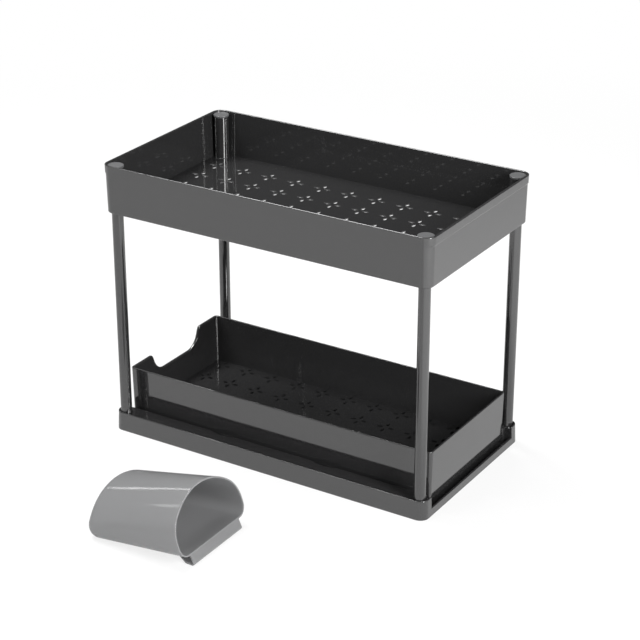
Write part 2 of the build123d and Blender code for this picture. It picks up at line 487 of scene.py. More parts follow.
def lathe(
    mesh: bmesh.types.BMesh, profile: Sequence[Vector], centre: Vector, steps: int, tube: bool
) -> None:
    """Turn a profile of radii and heights about an upright line.

    Args:
        mesh: The mesh that receives the faces.
        profile: Pairs of radius and height.
        centre: The line's place from above.
        steps: Points of each ring.
        tube: True for a closed profile, False for one closed by a lid at each end.
    """
    rings = [circle_ring(centre, point.x, point.y, steps) for point in profile]
    loft(mesh, rings, wrap=tube, lid_first=not tube, lid_last=not tube)


def prism(mesh: bmesh.types.BMesh, outline: Sequence[Vector], bottom: float, top: float) -> None:
    """Raise a flat outline between two heights.

    Args:
        mesh: The mesh that receives the faces.
        outline: The outline from above.
        bottom: Lower height.
        top: Upper height.
    """
    rings = [[Vector((point.x, point.y, height)) for point in outline] for height in (bottom, top)]
    loft(mesh, rings, lid_first=True, lid_last=True)


def soften(mesh: bmesh.types.BMesh, width: float, chosen: Callable[[Vector], bool], steps: int) -> None:
    """Round the sharp outer edges whose middle is chosen.

    Args:
        mesh: The mesh to change.
        width: Width of the rounding.
        chosen: Tells from an edge's middle whether it is rounded.
        steps: Steps of the rounding.
    """
    edges = []
    for edge in mesh.edges:
        outer = edge.is_manifold and edge.is_convex
        middle = (edge.verts[0].co + edge.verts[1].co) / 2
        if outer and edge.calc_face_angle(0) > ROUNDED_TURN and chosen(middle):
            edges.append(edge)
    bmesh.ops.bevel(
        mesh,
        geom=edges,
        offset=width,
        offset_type="OFFSET",
        segments=steps,
        profile=CIRCULAR,
        affect="EDGES",
        clamp_overlap=False,
    )


def finished(
    name: str, mesh: bmesh.types.BMesh, body: Body, slot: Slot, *nodes: str
) -> bpy.types.Object:
    """Make an object of a mesh in millimetres and give it to its body.

    Args:
        name: Name of the piece.
        mesh: The mesh, which is used up.
        body: The body that it rides on.
        slot: The material slot that it takes.
        nodes: The parts that it stands for.

    Returns:
        The finished object.
    """
    bmesh.ops.remove_doubles(mesh, verts=mesh.verts, dist=WELD)
    bmesh.ops.recalc_face_normals(mesh, faces=mesh.faces)
    bmesh.ops.transform(mesh, matrix=Matrix.Scale(METRES, 4), verts=mesh.verts)
    data = bpy.data.meshes.new(name)
    mesh.to_mesh(data)
    mesh.free()
    piece = bpy.data.objects.new(name, data)
    bpy.context.scene.collection.objects.link(piece)
    data.shade_smooth()
    data.set_sharp_from_angle(angle=SHARP_TURN)
    weigh = piece.modifiers.new("even_shading", "WEIGHTED_NORMAL")
    weigh.keep_sharp = True
    bake(piece)
    piece.data.materials.clear()
    piece.data.materials.append(bpy.data.materials[slot.finish_name()])
    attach(piece, body.value)
    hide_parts(*nodes)
    LOG.info("%s: %d faces", name, len(piece.data.polygons))
    return piece


def bake(piece: bpy.types.Object) -> None:
    """Put what the modifiers make into the mesh and remove them.

    Args:
        piece: The object to change.
    """
    shown = piece.evaluated_get(bpy.context.evaluated_depsgraph_get())
    data = bpy.data.meshes.new_from_object(shown)
    piece.modifiers.clear()
    piece.data = data


# Drain floors


# Half spans and radius that stand for a floor without bores
NO_BORES = (0.0, 0.0, 1.0)
DRAIN_INPUTS = {
    "Columns": "NodeSocketInt",
    "Rows": "NodeSocketInt",
    "Pitch": "NodeSocketFloat",
    "Petal length": "NodeSocketFloat",
    "Petal width": "NodeSocketFloat",
    "Petal offset": "NodeSocketFloat",
    "Bores": "NodeSocketBool",
    "Bore span X": "NodeSocketFloat",
    "Bore span Y": "NodeSocketFloat",
    "Bore radius": "NodeSocketFloat",
    "Height": "NodeSocketFloat",
    "Thickness": "NodeSocketFloat",
    "Material": "NodeSocketMaterial",
}


@dataclass(frozen=True)
class DrainPattern:
    """Groups of slim petals in rows and columns, and round bores for the posts."""

    columns: int = 11
    rows: int = 5
    pitch: float = 34.0
    petals: int = 4
    petal_length: float = 7.4
    petal_width: float = 3.3
    petal_offset: float = 6.5
    petal_points: int = 14
    bore_columns: int = 2
    bore_rows: int = 2
    bore_points: int = 40
    # A side is a face whose normal rises less than this, and it is the outline's own within this reach
    side_rise: float = 0.5
    side_reach: float = 0.01

    def petal_holes(self, nodes: NodeBench, given: dict[str, Value]) -> Value:
        """Add a group of petals on every point of the grid.

        Args:
            nodes: The tree's bench.
            given: The tree's inputs by name.

        Returns:
            The petals' outlines.
        """
        unit_radius = 0.5
        circle = nodes.add(
            "GeometryNodeCurvePrimitiveCircle",
            inputs={"Resolution": self.petal_points, "Radius": unit_radius},
        )
        size = nodes.add(
            "ShaderNodeCombineXYZ",
            inputs={"X": given["Petal length"], "Y": given["Petal width"], "Z": 1.0},
        )
        place = nodes.add("ShaderNodeCombineXYZ", inputs={"X": given["Petal offset"]})
        petal = nodes.add(
            "GeometryNodeTransform", inputs={"Geometry": circle, "Scale": size, "Translation": place}
        )
        turned = [
            nodes.add(
                "GeometryNodeTransform",
                inputs={"Geometry": petal, "Rotation": (0.0, 0.0, turn * math.tau / self.petals)},
            )
            for turn in range(self.petals)
        ]
        group = nodes.add("GeometryNodeJoinGeometry", inputs={0: turned})
        grid = nodes.add(
            "GeometryNodeMeshGrid",
            inputs={
                "Size X": given["Pitch"] * (given["Columns"] - 1.0),
                "Size Y": given["Pitch"] * (given["Rows"] - 1.0),
                "Vertices X": given["Columns"],
                "Vertices Y": given["Rows"],
            },
        )
        return nodes.add("GeometryNodeInstanceOnPoints", inputs={"Points": grid, "Instance": group})

    def bore_holes(self, nodes: NodeBench, given: dict[str, Value]) -> Value:
        """Add a bore for each post, where the floor has bores.

        Args:
            nodes: The tree's bench.
            given: The tree's inputs by name.

        Returns:
            The bores' outlines.
        """
        grid = nodes.add(
            "GeometryNodeMeshGrid",
            inputs={
                "Size X": given["Bore span X"],
                "Size Y": given["Bore span Y"],
                "Vertices X": self.bore_columns,
                "Vertices Y": self.bore_rows,
            },
        )
        circle = nodes.add(
            "GeometryNodeCurvePrimitiveCircle",
            inputs={"Resolution": self.bore_points, "Radius": given["Bore radius"]},
        )
        bores = nodes.add("GeometryNodeInstanceOnPoints", inputs={"Points": grid, "Instance": circle})
        return nodes.add(
            "GeometryNodeSwitch", {"input_type": "GEOMETRY"}, {"Switch": given["Bores"], "True": bores}
        )

    def tree(self) -> tuple[bpy.types.NodeTree, dict[str, str]]:
        """Build the node tree that fills an outline around the petals and the bores.

        Returns:
            The tree, and the identifier of each named input.
        """
        tree = bpy.data.node_groups.new("drain_floor", "GeometryNodeTree")
        tree.interface.new_socket("Geometry", in_out="INPUT", socket_type="NodeSocketGeometry")
        keys = {
            name: tree.interface.new_socket(name, in_out="INPUT", socket_type=kind).identifier
            for name, kind in DRAIN_INPUTS.items()
        }
        tree.interface.new_socket("Geometry", in_out="OUTPUT", socket_type="NodeSocketGeometry")
        nodes = NodeBench(tree)
        start = nodes.add("NodeGroupInput").node
        given = {name: Value(nodes, start, name) for name in ("Geometry", *DRAIN_INPUTS)}
        outline = nodes.add("GeometryNodeMeshToCurve", inputs={"Mesh": given["Geometry"]})
        holes = nodes.add(
            "GeometryNodeJoinGeometry",
            inputs={0: [self.petal_holes(nodes, given), self.bore_holes(nodes, given)]},
        )
        real_holes = nodes.add("GeometryNodeRealizeInstances", inputs={"Geometry": holes})
        curves = nodes.add("GeometryNodeJoinGeometry", inputs={0: [outline, real_holes]})
        plate = nodes.add("GeometryNodeFillCurve", inputs={"Curve": curves})
        lift = nodes.add("ShaderNodeCombineXYZ", inputs={"Z": given["Height"]})
        raised = nodes.add("GeometryNodeTransform", inputs={"Geometry": plate, "Translation": lift})
        drop = nodes.add("ShaderNodeCombineXYZ", inputs={"Z": 0.0 - given["Thickness"]})
        walls = nodes.add(
            "GeometryNodeExtrudeMesh",
            {"mode": "FACES"},
            {"Mesh": raised, "Offset": drop, "Individual": False},
        )
        slab = nodes.add("GeometryNodeJoinGeometry", inputs={0: [raised, walls]})
        real = nodes.add("GeometryNodeRealizeInstances", inputs={"Geometry": slab})
        dressed = nodes.add(
            "GeometryNodeSetMaterial", inputs={"Geometry": real, "Material": given["Material"]}
        )
        nodes.add("NodeGroupOutput", inputs={0: dressed})
        return tree, keys

    def outer_sides(
        self, floor: bmesh.types.BMesh, outline: Sequence[tuple[float, float, float]]
    ) -> list[bmesh.types.BMFace]:
        """Find the floor's sides along its outline, where the wall goes on.

        Args:
            floor: The floor's mesh.
            outline: The points of the outline at height zero.

        Returns:
            The side faces.
        """
        edge = KDTree(len(outline))
        for at, point in enumerate(outline):
            edge.insert(point, at)
        edge.balance()
        return [
            face
            for face in floor.faces
            if abs(face.normal.z) < self.side_rise
            and all(edge.find((vert.co.x, vert.co.y, 0.0))[2] < self.side_reach for vert in face.verts)
        ]

    def fill(
        self,
        mesh: bmesh.types.BMesh,
        outline: Sequence[Vector],
        height: float,
        thickness: float,
        slot: Slot,
        bores: tuple[float, float, float] = NO_BORES,
    ) -> None:
        """Add the floor inside an outline to a mesh.

        Args:
            mesh: The mesh that receives the floor.
            outline: The floor's edge.
            height: Height of the floor's top.
            thickness: Thickness of the floor.
            slot: Material slot of the floor.
            bores: Half spans of the bores along X and Y, and their radius.
        """
        tree, keys = self.tree()
        ring = bpy.data.meshes.new("floor_outline")
        flat = [(point.x, point.y, 0.0) for point in outline]
        links = [(at, (at + 1) % len(flat)) for at in range(len(flat))]
        ring.from_pydata(flat, links, [])
        holder = bpy.data.objects.new("floor_outline", ring)
        bpy.context.scene.collection.objects.link(holder)
        half_x, half_y, bore_radius = bores
        values = {
            "Columns": self.columns,
            "Rows": self.rows,
            "Pitch": self.pitch,
            "Petal length": self.petal_length,
            "Petal width": self.petal_width,
            "Petal offset": self.petal_offset,
            "Bores": bores != NO_BORES,
            "Bore span X": 2 * half_x,
            "Bore span Y": 2 * half_y,
            "Bore radius": bore_radius,
            "Height": height,
            "Thickness": thickness,
            "Material": bpy.data.materials[slot.finish_name()],
        }
        modifier = holder.modifiers.new("drain_floor", "NODES")
        modifier.node_group = tree
        for name, value in values.items():
            modifier[keys[name]] = value
        bake(holder)
        floor = bmesh.new()
        floor.from_mesh(holder.data)
        bmesh.ops.remove_doubles(floor, verts=floor.verts, dist=WELD)
        bmesh.ops.delete(floor, geom=self.outer_sides(floor, flat), context="FACES")
        floor.to_mesh(holder.data)
        floor.free()
        mesh.from_mesh(holder.data)
        bpy.data.objects.remove(holder)


# Sizes that pieces share


@dataclass(frozen=True)
class Layout:
    """The tray's outer sizes, and how posts, columns and caps fit together."""

    length: float = 390.0
    width: float = 215.2
    rim: float = 308.2
    post_inset: float = 10.8
    post_radius: float = 6.2
    post_wall: float = 1.4
    post_clearance: float = 0.15
    column_wall: float = 1.9
    column_roof: float = 3.0
    cap_drop: float = 1.6
    cap_thickness: float = 2.2
    socket_floor: float = 3.0

    @property
    def post_place(self) -> Vector:
        """Return the centre of the back right post from above."""
        return Vector((self.length / 2 - self.post_inset, self.width / 2 - self.post_inset))

    @property
    def tube_bore(self) -> float:
        """Return the radius of the hole through a post."""
        return self.post_radius - self.post_wall

    @property
    def column_bore(self) -> float:
        """Return the radius of the hole that a post goes into."""
        return self.post_radius + self.post_clearance

    @property
    def column_radius(self) -> float:
        """Return the outer radius of a column."""
        return self.column_bore + self.column_wall

    @property
    def column_top(self) -> float:
        """Return the height of a column's top."""
        return self.rim - self.cap_drop - self.cap_thickness

    @property
    def post_top(self) -> float:
        """Return the height of a post's top, under the column's roof."""
        return self.column_top - self.column_roof

    def corners(self) -> dict[str, Vector]:
        """Place the four posts.

        Returns:
            Each post's centre from above, by the name of its corner.
        """
        x, y = self.post_place
        return {
            "front_left": Vector((-x, -y)),
            "front_right": Vector((x, -y)),
            "back_left": Vector((-x, y)),
            "back_right": Vector((x, y)),
        }


# Open trays


@dataclass(frozen=True, kw_only=True)
class OpenTray:
    """A tray with thin leaning walls around a drain floor."""

    drains: DrainPattern
    underside: float
    rim: float
    draft: float
    foot_round: float
    rim_round: float
    floor_edge: float
    wall: float = 2.0
    floor: float = 2.0
    drain_thickness: float = 1.25
    round_steps: int = 4

    @property
    def floor_top(self) -> float:
        """Return the height of the floor's top."""
        return self.underside + self.floor

    @property
    def slope(self) -> float:
        """Return how far the walls come in for each unit down from the rim."""
        return math.tan(math.radians(self.draft))

    def section(self, between: Sequence[float] = ()) -> list[Vector]:
        """Trace the wall, from the floor's underside over the rim to the floor's top.

        Args:
            between: Heights on the outer face, from low to high, that get a place of their own.

        Returns:
            Places on the wall: inset and height.
        """
        corners = [
            Vector((self.floor_edge, self.floor_top - self.drain_thickness)),
            Vector((self.floor_edge, self.underside)),
            Vector(((self.rim - self.underside) * self.slope, self.underside)),
            *(Vector(((self.rim - height) * self.slope, height)) for height in between),
            Vector((0.0, self.rim)),
            Vector((self.wall, self.rim)),
            Vector((self.wall + (self.rim - self.floor_top) * self.slope, self.floor_top)),
            Vector((self.floor_edge, self.floor_top)),
        ]
        radii = [0.0, self.foot_round, *(0.0 for _ in between), self.rim_round, self.rim_round, 0.0]
        return bend(corners, radii, self.round_steps)


# Top tray


@dataclass(frozen=True, kw_only=True)
class TopTray(OpenTray):
    """The upper tray with its columns, drain floor and raised end bands."""

    layout: Layout
    underside: float = 255.2
    rim: float = Layout.rim
    draft: float = 1.0
    foot_round: float = 1.4
    rim_round: float = 0.7
    floor_edge: float = 3.65
    corner: float = 11.0
    band_proud: float = 0.8
    band_height: float = 10.0
    band_slope: float = 1.4
    band_turn: float = 56.0
    # Rings on the slope under the band, as shares of it; the close ones keep its edges crisp
    band_shares: tuple[float, ...] = (0.0, 0.02, 0.2, 0.8, 1.0)
    column_round: float = 0.5
    column_foot: float = 1.1
    column_sink: float = 0.2
    floor_bore: float = 6.9
    corner_steps: int = 12
    column_steps: int = 64

    def ring(self, inset: float, height: float) -> list[Vector]:
        """Return the outline at one place of the wall's section.

        Args:
            inset: Distance in from the outer edge of the rim.
            height: Height above the ground.

        Returns:
            The ring's points.
        """
        layout = self.layout
        corner = Vector((layout.length / 2 - inset, layout.width / 2 - inset))
        across = clamp((inset - (self.rim - height) * self.slope) / self.wall)
        above = clamp((height - (self.rim - self.band_height)) / self.band_slope)
        push = self.band_proud * above * (1 - across)
        points = []
        for point, angle in plan_ring(-corner, corner, self.corner - inset, self.corner_steps):
            on_end = abs(math.cos(angle)) > math.cos(math.radians(self.band_turn))
            out = math.copysign(push, point.x) if on_end else 0.0
            points.append(Vector((point.x + out, point.y, height)))
        return points

    def column(self) -> list[Vector]:
        """Trace a corner column.

        Returns:
            The closed section: radius and height.
        """
        layout, sink = self.layout, self.column_sink
        corners = [
            Vector((self.floor_bore + sink, self.underside + sink)),
            Vector((layout.column_radius + self.column_foot, self.floor_top - sink / 2)),
            Vector((layout.column_radius, self.floor_top)),
            Vector((layout.column_radius, layout.column_top)),
            Vector((layout.tube_bore, layout.column_top)),
            Vector((layout.tube_bore, layout.post_top)),
            Vector((layout.column_bore, layout.post_top)),
            Vector((layout.column_bore, self.underside + sink)),
        ]
        radii = [0.0, self.column_foot - sink, self.column_round, 0.0, 0.0, 0.0]
        return bend(corners, radii, self.round_steps)

    def build(self) -> bpy.types.Object:
        """Build the tray.

        Returns:
            The finished piece.
        """
        band_start = self.rim - self.band_height
        band_rings = [band_start + self.band_slope * share for share in self.band_shares]
        mesh = bmesh.new()
        rings = [self.ring(point.x, point.y) for point in self.section(band_rings)]
        loft(mesh, rings)
        bores = (*self.layout.post_place, self.floor_bore)
        self.drains.fill(mesh, rings[-1], self.floor_top, self.drain_thickness, Slot.DARK, bores)
        for centre in self.layout.corners().values():
            lathe(mesh, self.column(), centre, self.column_steps, tube=True)
        return finished("top_tray_shell", mesh, Body.FRAME, Slot.DARK, "top_tray")


# Posts


@dataclass(frozen=True)
class Posts:
    """The four round tubes between the tiers."""

    layout: Layout
    end_round: float = 0.3
    steps: int = 96
    round_steps: int = 3

    def build(self) -> list[bpy.types.Object]:
        """Build the posts.

        Returns:
            The finished pieces.
        """
        layout = self.layout
        outer, inner = layout.post_radius, layout.tube_bore
        bottom, top = layout.socket_floor, layout.post_top
        middle = (outer + inner) / 2
        ends = [(outer, bottom), (outer, top), (inner, top), (inner, bottom)]
        corners = [Vector(place) for place in ((middle, bottom), *ends, (middle, bottom))]
        section = bend(corners, [self.end_round] * len(ends), self.round_steps)[:-1]
        pieces = []
        for name, centre in layout.corners().items():
            mesh = bmesh.new()
            lathe(mesh, section, centre, self.steps, tube=True)
            pieces.append(finished(f"tube_{name}", mesh, Body.FRAME, Slot.POST, f"post_{name}"))
        return pieces


# End caps


@dataclass(frozen=True)
class EndCaps:
    """The four discs on the columns, each with a ribbed stem."""

    layout: Layout
    overhang: float = 0.35
    edge_round: float = 0.45
    stem_length: float = 14.0
    stem_gap: float = 0.2
    ribs: int = 4
    rib_width: float = 2.0
    steps: int = 96
    round_steps: int = 4

    def build(self) -> list[bpy.types.Object]:
        """Build the caps.

        Returns:
            The finished pieces.
        """
        layout = self.layout
        seat, top = layout.column_top, layout.column_top + layout.cap_thickness
        radius = layout.column_radius + self.overhang
        places = ((radius / 2, seat), (radius, seat), (radius, top), (radius / 2, top))
        corners = [Vector(place) for place in places]
        section = bend(corners, [self.edge_round / 2, self.edge_round], self.round_steps)
        half, reach = self.rib_width / 2, layout.tube_bore - self.stem_gap
        cross = [
            Matrix.Rotation(turn * math.tau / self.ribs, 2) @ Vector(point)
            for turn in range(self.ribs)
            for point in ((reach, -half), (reach, half), (half, half))
        ]
        pieces = []
        for name, centre in layout.corners().items():
            mesh = bmesh.new()
            lathe(mesh, section, centre, self.steps, tube=False)
            outline = [point + centre for point in cross]
            prism(mesh, outline, seat - self.stem_length, seat + self.edge_round)
            pieces.append(finished(f"cap_{name}", mesh, Body.FRAME, Slot.CAP, f"end_cap_{name}"))
        return pieces


# Base tray


@dataclass(frozen=True)
class BaseTray:
    """The low base with its ledges, corner blocks and open mouths."""

    edge_round: float = 0.7
    round_steps: int = 3
    channel_half: float = 83.0
    channel_end: float = 189.0
    lowest_round: float = 7.0

    def chosen(self, middle: Vector) -> bool:
        """Tell from an edge's middle whether it is rounded: above the foot and outside the channel."""
        in_channel = abs(middle.y) < self.channel_half and abs(middle.x) < self.channel_end
        return middle.z > self.lowest_round and not in_channel

    def build(self, source: bpy.types.Object) -> bpy.types.Object:
        """Build the base from a copy of its part.

        Args:
            source: The part.

        Returns:
            The finished piece.
        """
        mesh = bmesh.new()
        points = [mesh.verts.new(vertex.co / METRES) for vertex in source.data.vertices]
        for face in source.data.polygons:
            mesh.faces.new([points[at] for at in face.vertices])
        bmesh.ops.remove_doubles(mesh, verts=mesh.verts, dist=WELD)
        soften(mesh, self.edge_round, self.chosen, self.round_steps)
        return finished("base_tray_shell", mesh, Body.FRAME, Slot.DARK, "base_tray")


# Sliding drawer


@dataclass(frozen=True, kw_only=True)
class SlidingDrawer(OpenTray):
    """The drawer with its drain floor and its finger notch."""

    underside: float = 9.0
    rim: float = 66.3
    draft: float = 1.2
    foot_round: float = 2.3
    rim_round: float = 0.9
    floor_edge: float = 3.6
    length: float = 376.27
    width: float = 163.8
    corner: float = 4.5
    least_corner: float = 0.3
    notch_wall: float = 3.3
    notch_top: float = 90.0
    notch_bottom: float = 72.0
    notch_depth: float = 22.0
    notch_rounds: tuple[float, float, float, float] = (4.0, 20.0, 20.0, 4.0)
    # Straight rim beside the notch that has points of its own, and the reach past it
    notch_run: float = 8.0
    notch_reach: float = 2.0
    tab_places: tuple[float, float] = (175.5, 64.5)
    tab_spacing: float = 34.0
    tab_width: float = 12.0
    tab_thickness: float = 2.4
    tab_depth: float = 4.4
    corner_steps: int = 8
    notch_steps: int = 8

    def notch(self) -> list[tuple[Vector, Vector]]:
        """Trace the notch's edge from back to front.

        Returns:
            Each place, across and up, with the way that it faces.
        """
        half_top, half_bottom = self.notch_top / 2, self.notch_bottom / 2
        sunk = self.rim - self.notch_depth
        back = [
            Vector((half_top + self.notch_run, self.rim)),
            Vector((half_top, self.rim)),
            Vector((half_bottom, sunk)),
        ]
        front = [Vector((-corner.x, corner.y)) for corner in reversed(back)]
        path = bend(back + front, self.notch_rounds, self.notch_steps)
        facing = []
        for at, place in enumerate(path):
            along = path[min(at + 1, len(path) - 1)] - path[max(at - 1, 0)]
            facing.append((place, Vector((along.y, -along.x)).normalized()))
        facing[0] = (path[0], Vector((0.0, 1.0)))
        facing[-1] = (path[-1], Vector((0.0, 1.0)))
        return facing

    def ring(self, inset: float, height: float) -> list[Vector]:
        """Return the outline at one place of the wall's section.

        Args:
            inset: Distance in from the outer edge of the rim.
            height: Height above the ground.

        Returns:
            The ring's points.
        """
        down = self.rim - height
        across = clamp((inset - down * self.slope) / self.wall)
        extra = (self.notch_wall - self.wall) * across
        low = Vector((-self.length / 2 + inset + extra, -self.width / 2 + inset))
        high = Vector((self.length / 2 - inset, self.width / 2 - inset))
        radius = max(self.least_corner, self.corner - inset)
        edge = self.notch()
        near_rim = down < 2 * self.rim_round
        sides = [place.x - facing.x * down if near_rim else place.x for place, facing in edge]
        notch_end = self.notch_top / 2 + self.notch_run + self.notch_reach
        points = []
        left = 0
        for point, angle in plan_ring(low, high, radius, self.corner_steps, sides):
            here = Vector((point.x, point.y, height))
            on_notch = angle == math.pi and abs(point.y) < notch_end
            if on_notch and left < len(edge):
                place, facing = edge[left]
                left += 1
                if near_rim:
                    here.z = place.y - facing.y * down
                    here.x += (self.rim - here.z - down) * self.slope
            points.append(here)
        return points

    def build(self) -> bpy.types.Object:
        """Build the drawer.

        Returns:
            The finished piece.
        """
        mesh = bmesh.new()
        rings = [self.ring(point.x, point.y) for point in self.section()]
        loft(mesh, rings)
        self.drains.fill(mesh, rings[-1], self.floor_top, self.drain_thickness, Slot.DARK)
        half_tab, half_width = self.tab_thickness / 2, self.tab_width / 2
        for place in self.tab_places:
            for side in (-self.tab_spacing / 2, self.tab_spacing / 2):
                outline = [
                    Vector((place + across * half_tab, side + along * half_width))
                    for across, along in ((-1, -1), (1, -1), (1, 1), (-1, 1))
                ]
                prism(mesh, outline, self.underside - self.tab_depth, self.underside + self.floor / 2)
        return finished("drawer_shell", mesh, Body.DRAWER, Slot.DARK, "sliding_drawer")


# Hanging cup


@dataclass(frozen=True)
class HangingCup:
    """The tapered cup that lies on its back, with its folded hook."""

    length: float = 116.5
    width: float = 110.8
    mouth_depth: float = 58.4
    taper: float = 6.0
    front_rise: float = 29.0
    front_round: float = 14.0
    mouth_round: float = 34.0
    side_round: float = 12.0
    back_round: float = 10.0
    wall: float = 1.6
    mouth_lean: float = 12.6
    rim_round: float = 0.5
    hook_width: float = 83.0
    hook_drop: float = 12.0
    hook_reach: float = 2.4
    hook_leg: float = 24.0
    hook_rise: float = 3.4
    fold_radius: float = 1.8
    hook_edge: float = 0.45
    cut_length: float = 14.0
    cut_width: float = 8.0
    place: tuple[float, float] = (-72.8, -254.6)
    arc_steps: int = 40
    side_steps: int = 10
    round_steps: int = 8
    rim_steps: int = 4
    fold_steps: int = 8
    edge_steps: int = 3

    def hook_path(self) -> tuple[list[Vector], Vector]:
        """Trace the hook's middle line in the cup's side view.

        Returns:
            The line's points, and the centre of its fold.
        """
        middle = self.wall / 2
        root = Vector((self.length - self.wall, middle))
        fold = Vector((self.length + self.hook_reach, middle - self.hook_drop))
        end = fold + Vector((-self.hook_leg, self.hook_rise))
        rise, back = (root - fold).normalized(), (end - fold).normalized()
        half = rise.angle(back) / 2
        centre = fold + (rise + back).normalized() * (self.fold_radius / math.sin(half))
        return bend([root, fold, end], [self.fold_radius], self.fold_steps), centre

    def stance(self) -> Matrix:
        """Find how the cup lies when it rests on its hook's fold and its closed end.

        Returns:
            The turn and the place of the cup's side view.
        """
        _, centre = self.hook_path()
        run_in = self.back_round * math.tan((QUARTER - math.radians(self.taper)) / 2)
        run, fall = centre.x - run_in, centre.y - self.back_round
        step = self.fold_radius + self.wall / 2 - self.back_round
        tilt = math.asin(step / math.hypot(run, fall)) - math.atan2(fall, run)
        lift = self.back_round * (1 - math.cos(tilt)) - run_in * math.sin(tilt)
        return Matrix.Translation((*self.place, lift)) @ Matrix.Rotation(-tilt, 4, "Y")

    def outline(self, inset: float, front_round: float) -> list[tuple[float, float, bool]]:
        """Return the cross section: across, height, and whether the height counts from the front.

        Args:
            inset: Distance in from the outer face.
            front_round: Radius between the broad front and the sides.

        Returns:
            The points in order around the section.
        """
        half = self.width / 2
        broad = (half**2 + self.front_rise**2) / (2 * self.front_rise)
        gap = half - front_round
        drop = broad - math.sqrt((broad - front_round) ** 2 - gap**2)
        swing = math.asin(gap / (broad - front_round))
        side, corner, front = self.side_round - inset, front_round - inset, broad - inset
        turns = [step / self.side_steps for step in range(self.side_steps + 1)]
        points: list[tuple[float, float, bool]] = []
        for turn in turns:
            angle = (turn - 1) * QUARTER
            across = half - self.side_round + side * math.cos(angle)
            points.append((across, self.side_round + side * math.sin(angle), False))
        for turn in turns:
            angle = turn * (QUARTER - swing)
            points.append((gap + corner * math.cos(angle), -drop + corner * math.sin(angle), True))
        mirrored = [(-across, up, from_front) for across, up, from_front in reversed(points)]
        for step in range(1, self.arc_steps):
            angle = QUARTER - swing + step / self.arc_steps * 2 * swing
            points.append((front * math.cos(angle), -broad + front * math.sin(angle), True))
        return points + mirrored

    def ring(self, inset: float, gap: float, at_mouth: bool) -> list[Vector]:
        """Return one ring of the body in the cup's own place.

        Args:
            inset: Distance in from the outer face.
            gap: Distance from the plane of the mouth or of the closed end.
            at_mouth: True for a ring at the mouth, False for one at the closed end.

        Returns:
            The ring's points: along, across, up.
        """
        slope = math.tan(math.radians(self.taper))
        level = math.cos(math.radians(self.taper))
        lean = math.tan(math.radians(self.mouth_lean))
        at_end = self.outline(inset, self.front_round)
        towards = self.outline(inset, self.mouth_round)
        ring = []
        for (across, up, from_front), (wide, high, _) in zip(at_end, towards, strict=True):
            if from_front:
                start = self.mouth_depth - self.length * slope + up / level
                climb = slope + (high - up) / level / self.length
            else:
                start, climb = up, 0.0
            if at_mouth:
                along = (self.length - gap - start * lean) / (1 + climb * lean)
            else:
                along = (gap / level - start * slope) / (1 + climb * slope)
            spread = (wide - across) / self.length
            ring.append(Vector((along, across + spread * along, start + climb * along)))
        return ring

    def body(self, mesh: bmesh.types.BMesh) -> None:
        """Add the hollow body.

        Args:
            mesh: The mesh that receives the faces.
        """
        outer = quarter_turn(self.back_round, self.round_steps)
        rim = quarter_turn(self.rim_round, self.rim_steps)
        inner = quarter_turn(self.back_round - self.wall, self.round_steps)
        rings = [self.ring(inset, gap, at_mouth=False) for inset, gap in reversed(outer)]
        rings += [self.ring(inset, gap, at_mouth=True) for inset, gap in rim]
        rings += [self.ring(self.wall - inset, gap, at_mouth=True) for inset, gap in reversed(rim)]
        rings += [self.ring(self.wall + inset, self.wall + gap, at_mouth=False) for inset, gap in inner]
        loft(mesh, rings, lid_first=True, lid_last=True)

    def hook(self, mesh: bmesh.types.BMesh) -> None:
        """Add the hook strip.

        Args:
            mesh: The mesh that receives the faces.
        """
        path, _ = self.hook_path()
        tail = (path[-1] - path[-2]).normalized()
        line = [*path[:-1], path[-1] - tail * self.cut_length, path[-1]]
        rings = []
        for at, place in enumerate(line):
            ahead = line[min(at + 1, len(line) - 1)] - line[max(at - 1, 0)]
            side = Vector((-ahead.y, ahead.x)).normalized()
            half = self.hook_width / 2 - (self.cut_width if at == len(line) - 1 else 0.0)
            corner = Vector((self.wall / 2, half))
            ring = []
            for point, _ in plan_ring(-corner, corner, self.hook_edge, self.edge_steps):
                flat = place + side * point.x
                ring.append(Vector((flat.x, point.y, flat.y)))
            rings.append(ring)
        loft(mesh, rings, lid_first=True, lid_last=True)

    def build(self) -> bpy.types.Object:
        """Build the cup.

        Returns:
            The finished piece.
        """
        mesh = bmesh.new()
        self.body(mesh)
        self.hook(mesh)
        bmesh.ops.transform(mesh, matrix=self.stance(), verts=mesh.verts)
        return finished("cup_body", mesh, Body.CUP, Slot.CUP, "hanging_cup")


# Studio


@dataclass(frozen=True)
class Softbox:
    """A soft rectangular lamp, which mirrors may leave out."""

    name: str
    place: tuple[float, float, float]
    target: tuple[float, float, float]
    size: tuple[float, float]
    power: float
    mirrored: bool = True

    def build(self) -> None:
        """Add the lamp to the scene."""
        data = bpy.data.lights.new(self.name, "AREA")
        data.shape = "RECTANGLE"
        data.size, data.size_y = self.size
        data.energy = self.power
        lamp = bpy.data.objects.new(self.name, data)
        lamp.location = self.place
        aim = Vector(self.target) - Vector(self.place)
        lamp.rotation_euler = aim.to_track_quat("-Z", "Y").to_euler()
        lamp.visible_glossy = self.mirrored
        bpy.context.scene.collection.objects.link(lamp)


